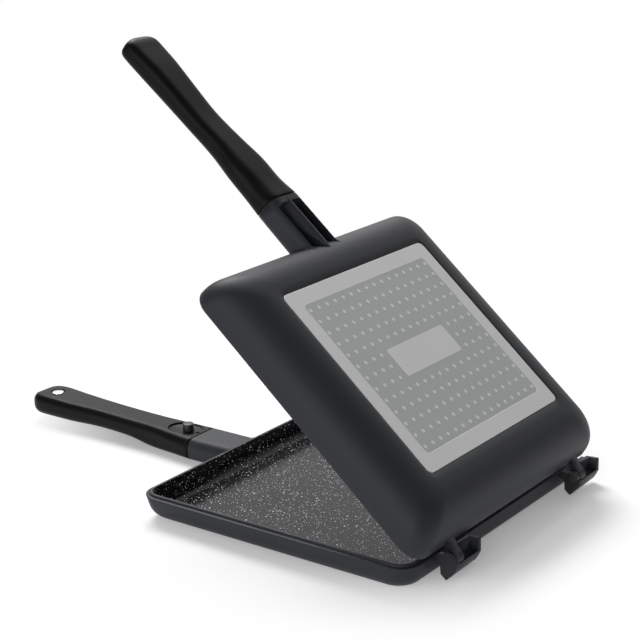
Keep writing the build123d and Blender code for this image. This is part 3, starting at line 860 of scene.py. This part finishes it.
def gripFinish():
    s = materialShader("matte_grip_moulding")
    place = s.place()
    grain = s.noise(place, moulding["grainScale"], 4.0, 0.6)
    cloud = s.noise(place, moulding["cloudScale"], 3.0, 0.5)
    colour = s.mix(cloud, (*moulding["dark"], 1), (*moulding["light"], 1))
    uneven = moulding["grainRoughness"] * grain + moulding["cloudRoughness"] * cloud
    roughness = moulding["roughness"] + uneven
    return s.finish({"Base Color": colour, "Roughness": roughness, "Specular IOR Level": moulding["specular"],
                     "Normal": s.bump(grain, moulding["bump"])})


def plainFinish(name, low, high, roughness, metallic):
    s = materialShader(name)
    grain = s.noise(s.place(), plain["grainScale"], 3.0, 0.6)
    return s.finish({"Base Color": s.mix(grain, (*low, 1), (*high, 1)), "Metallic": metallic,
                     "Roughness": roughness + plain["grainRoughness"] * grain,
                     "Normal": s.bump(grain, plain["bump"])})


panCoating = coatFinish()
speckled = speckFinish()
gripMoulding = gripFinish()
plateSteel = steelSheet("induction_plate_steel", (0.61, 0.62, 0.61), (0.68, 0.69, 0.68), 0.5, 0.6)
plateField = steelSheet("induction_plate_field", (0.41, 0.42, 0.42), (0.47, 0.48, 0.48), 0.5, 0.6)
plateDots = steelSheet("induction_plate_dots", (0.60, 0.61, 0.60), (0.68, 0.69, 0.68), 0.45, 0.5)
gasketRubber = plainFinish("gasket_rubber", (0.002, 0.002, 0.002), (0.004, 0.004, 0.004), 0.75, 0.0)
magnetPlating = plainFinish("nickel_plating", (0.82, 0.82, 0.82), (0.92, 0.92, 0.92), 0.2, 1.0)
blackSteel = plainFinish("blackened_steel", (0.010, 0.010, 0.011), (0.018, 0.018, 0.019), 0.42, 0.0)
zincScrew = plainFinish("zinc_screw", (0.42, 0.42, 0.42), (0.55, 0.55, 0.55), 0.35, 1.0)
print("finishes made")


# The pieces
def castPan(name, dish, values, addHinge):
    piece = panShell(name, dish)
    combine(piece, stubShell("stub", values), "UNION")
    addHinge(piece)
    combine(piece, threadHole(*values["hole"]), "DIFFERENCE")
    shadeSmooth(piece)
    coverWith(piece, panCoating)
    paintWhere(piece, speckled, inCavity(dish))
    return piece


lowerPan = castPan("lower_pan_cast", lowerDish, lowerHandle, addCradles)
upperPan = castPan("upper_pan_cast", upperDish, upperHandle, addLugs)
fitPiece(lowerPan, "lower_pan", "lower_half")
fitPiece(upperPan, "upper_pan", "upper_half")
print("pans made,", len(lowerPan.data.polygons), "and", len(upperPan.data.polygons), "faces")


def inField(sunk):
    def test(face):
        centre = face.center / mm
        level = abs(face.normal.z) > plate["levelFace"] and abs(centre.z - sunk) < plate["levelMargin"]
        return level and abs(centre.x) < plate["fieldX"]

    return test


tree = dotTree()
for name, face, away in (("lower", lowerDish["base"], -1), ("upper", upperDish["base"], 1)):
    sheet = plateShell(name + "_plate_sheet", face, away)
    shadeSmooth(sheet, 20)
    coverWith(sheet, plateSteel)
    paintWhere(sheet, plateField, inField(face - away * plate["sunk"]))
    dots = dotField(name + "_plate_dots", tree, face, away, plateDots)
    for piece in (sheet, dots):
        fitPiece(piece, name + "_base_plate", name + "_half")
print("induction plates made,", len(dots.data.polygons) // (plate["dotSteps"] + 2), "dots on each")

lowerFace, upperFace = fitting["magnetFaces"]
for piece, node, body, slot, material in (
    (makeLowerGrip(), "lower_grip", "lower_half", "grip", gripMoulding),
    (makeUpperGrip(), "upper_grip", "upper_half", "grip", gripMoulding),
    (gasketShell("lower_gasket_ring", lowerHandle), "lower_gasket", "lower_half", "gasket", gasketRubber),
    (gasketShell("upper_gasket_ring", upperHandle), "upper_gasket", "upper_half", "gasket", gasketRubber),
    (magnetPiece("lower_magnet_disc", lowerFace, 1), "lower_magnet", "lower_half", "magnet", magnetPlating),
    (magnetPiece("upper_magnet_disc", upperFace, -1), "upper_magnet", "upper_half", "magnet", magnetPlating),
    (makePost(), "locating_post", "lower_half", "black_steel", blackSteel),
    (makeScrew(), "grip_screw", "upper_half", "screw", zincScrew),
    (hingePin("near_pin_turned", 0), "near_hinge_pin", "hinge_pins", "black_steel", blackSteel),
    (hingePin("far_pin_turned", 1), "far_hinge_pin", "hinge_pins", "black_steel", blackSteel),
):
    if slot != "grip":
        shadeSmooth(piece)
    coverWith(piece, material)
    fitPiece(piece, node, body)
print("grips, fittings and pins made")


# Floor, backdrop and light
studio = {
    "floor": 6.0, "floorZ": -0.1, "worldLight": 0.17, "backLight": 1.0, "backFrom": 0.5, "backTo": 0.98,
    "backDirection": (-0.80, -0.30, 0.45), "floorGlow": 0.22, "floorAlbedo": 0.88,
    "whiteCentre": (-0.10, -0.02, 0.0), "whiteFrom": 0.17, "whiteTo": 0.26, "bounce": 0.8,
}
lamps = {
    "key": {"place": (-0.9, -1.2, 1.7), "target": (0, 0, 0.05), "size": (1.15, 0.8), "power": 36.0},
    "fill": {"place": (1.3, 0.1, 0.5), "target": (0, 0, 0.03), "size": (1.8, 0.9), "power": 10.0},
}


def floorFinish():
    s = materialShader("studio_floor")
    seen = s.node("ShaderNodeLightPath", output="Is Camera Ray")
    for ray in ("Is Glossy Ray", "Is Transmission Ray"):
        seen = seen.maths("MAXIMUM", s.node("ShaderNodeLightPath", output=ray))
    strength = studio["bounce"] + seen * (1.0 - studio["bounce"])
    ends = {0: s.place(), 1: studio["whiteCentre"]}
    offset = s.node("ShaderNodeVectorMath", {"operation": "SUBTRACT"}, ends)
    distance = s.node("ShaderNodeVectorMath", {"operation": "LENGTH"}, {0: offset}, "Value")
    far = s.step(distance, studio["whiteFrom"], studio["whiteTo"])
    albedo = studio["floorAlbedo"]
    lit = s.node("ShaderNodeBsdfDiffuse", {}, {"Color": (albedo, albedo, albedo, 1)})
    glow = s.node("ShaderNodeEmission", {}, {"Strength": strength * studio["floorGlow"]})
    near = s.node("ShaderNodeAddShader", {}, {0: lit, 1: glow})
    white = s.node("ShaderNodeEmission", {}, {"Strength": strength})
    both = s.node("ShaderNodeMixShader", {}, {0: far, 1: near, 2: white})
    s.node("ShaderNodeOutputMaterial", {}, {"Surface": both})
    return s.owner


half = studio["floor"] / mm / 2
corners = [(x * half, y * half, studio["floorZ"]) for x, y in ((-1, -1), (1, -1), (1, 1), (-1, 1))]
floor = newPiece("studio_floor", corners, [(0, 1, 2, 3)])
floor.data.materials.append(floorFinish())


def makeWorld():
    s = Shader(bpy.data.worlds.new("studio"))
    bpy.context.scene.world = s.owner
    seen = s.node("ShaderNodeLightPath", output="Is Camera Ray")
    seen = seen.maths("MAXIMUM", s.node("ShaderNodeLightPath", output="Is Transmission Ray"))
    direction = s.node("ShaderNodeTexCoord", output="Generated")
    toBack = Vector(studio["backDirection"]).normalized()
    ends = {0: direction, 1: tuple(toBack)}
    facing = s.node("ShaderNodeVectorMath", {"operation": "DOT_PRODUCT"}, ends, "Value")
    back = s.step(facing, studio["backFrom"], studio["backTo"])
    light = studio["worldLight"] + back * (studio["backLight"] - studio["worldLight"])
    strength = seen + (1.0 - seen) * light
    background = s.node("ShaderNodeBackground", {}, {"Strength": strength})
    background.link.node.inputs["Color"].default_value = (1, 1, 1, 1)
    s.node("ShaderNodeOutputWorld", {}, {"Surface": background})


def addLamp(name, values):
    lamp = bpy.data.lights.new(name, "AREA")
    lamp.shape = "RECTANGLE"
    lamp.size, lamp.size_y = values["size"]
    lamp.energy = values["power"]
    holder = bpy.data.objects.new(name, lamp)
    bpy.context.scene.collection.objects.link(holder)
    holder.location = values["place"]
    toTarget = Vector(values["target"]) - Vector(values["place"])
    holder.rotation_euler = toTarget.to_track_quat("-Z", "Y").to_euler()


makeWorld()
for name, values in lamps.items():
    addLamp(name, values)
print("studio made")

# Camera, solved from the photograph
camera = {
    "eye": (660.96, 468.58, 348.54), "azimuth": 126.854, "elevation": 17.193, "roll": -1.476,
    "focal": 1677.8, "pixels": 640.0, "sensor": 36.0, "clip": (0.01, 20.0),
}


def addCamera():
    a, e, r = radians(camera["azimuth"]), radians(camera["elevation"]), radians(camera["roll"])
    back = Vector((sin(a) * cos(e), -cos(a) * cos(e), sin(e)))
    level = Vector((cos(a), sin(a), 0))
    up = back.cross(level)
    right = level * cos(r) + up * sin(r)
    top = up * cos(r) - level * sin(r)
    lens = bpy.data.cameras.new("camera")
    lens.sensor_width = camera["sensor"]
    lens.lens = camera["focal"] * camera["sensor"] / camera["pixels"]
    lens.clip_start, lens.clip_end = camera["clip"]
    holder = bpy.data.objects.new("camera", lens)
    bpy.context.scene.collection.objects.link(holder)
    turn = Matrix((right, top, back)).transposed().to_4x4()
    holder.matrix_world = Matrix.Translation(Vector(camera["eye"]) * mm) @ turn
    bpy.context.scene.camera = holder


addCamera()
bpy.context.scene.view_settings.view_transform = "Standard"
